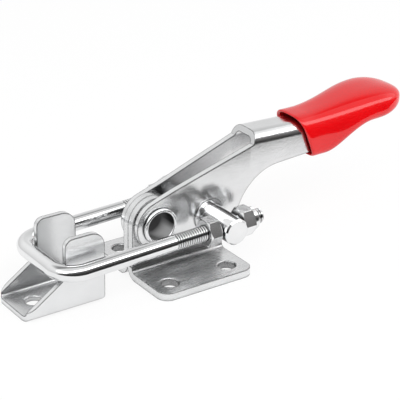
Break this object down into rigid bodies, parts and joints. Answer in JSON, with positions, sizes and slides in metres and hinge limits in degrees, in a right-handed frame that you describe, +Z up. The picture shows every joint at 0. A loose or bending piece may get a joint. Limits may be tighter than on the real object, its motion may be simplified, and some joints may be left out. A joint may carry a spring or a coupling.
{
  "type": "latch toggle clamp",
  "caption": "Latch toggle clamp with folded base plates, an arched lever with a red grip, and an adjustable U-hook that pulls on a separate catch plate.",
  "frame": {"origin": "centre of the base's hole pattern, on the mounting face", "axes": "+X from the catch plate to the handle, +Y across the clamp, +Z up from the mounting face"},
  "size_m": [0.1737, 0.0486, 0.0541],
  "materials": {
    "plated_sheet": "bright zinc plated sheet steel",
    "plated_rod": "bright zinc plated turned and bent steel",
    "plated_nut": "bright zinc plated steel hardware",
    "red_grip": "glossy soft moulded plastic"
  },
  "bodies": {
    "base": {"base_plate_near": "plated_sheet", "base_plate_far": "plated_sheet", "pivot_rivet": "plated_rod", "catch_plate": "plated_sheet"},
    "lever_arm": {"lever": "plated_sheet", "handle_grip": "red_grip", "trunnion_bush_near": "plated_rod", "trunnion_bush_far": "plated_rod"},
    "trunnion": {"trunnion_pin": "plated_rod"},
    "hook": {"u_hook": "plated_rod"},
    "nut_front_near": {"front_nut_near": "plated_nut"},
    "nut_rear_near": {"rear_nut_near": "plated_nut"},
    "nut_front_far": {"front_nut_far": "plated_nut"},
    "nut_rear_far": {"rear_nut_far": "plated_nut"}
  },
  "joints": [
    {"name": "lever_swing", "type": "hinge", "parent": "base", "child": "lever_arm", "pos_m": [-0.01, 0, 0.0207], "axis": [0, -1, 0], "range_deg": [0, 100]},
    {"name": "hook_swing", "type": "hinge", "parent": "lever_arm", "child": "trunnion", "pos_m": [0.01187, 0, 0.01959], "axis": [0, -1, 0], "range_deg": [-120, 0]},
    {"name": "hook_reach", "type": "slide", "parent": "trunnion", "child": "hook", "axis": [-0.9996, 0, -0.0289], "range_m": [0, 0.003]},
    {"name": "front_nut_near_turn", "type": "hinge", "parent": "trunnion", "child": "nut_front_near", "pos_m": [0.01187, -0.0173, 0.01959], "axis": [-0.9996, 0, -0.0289], "continuous": true},
    {"name": "rear_nut_near_turn", "type": "hinge", "parent": "trunnion", "child": "nut_rear_near", "pos_m": [0.01187, -0.0173, 0.01959], "axis": [-0.9996, 0, -0.0289], "continuous": true},
    {"name": "front_nut_far_turn", "type": "hinge", "parent": "trunnion", "child": "nut_front_far", "pos_m": [0.01187, 0.0173, 0.01959], "axis": [-0.9996, 0, -0.0289], "continuous": true},
    {"name": "rear_nut_far_turn", "type": "hinge", "parent": "trunnion", "child": "nut_rear_far", "pos_m": [0.01187, 0.0173, 0.01959], "axis": [-0.9996, 0, -0.0289], "continuous": true}
  ],
  "couplings": [
    {"joint": "hook_swing", "follows": "lever_swing", "ratio": -1.2}
  ]
}
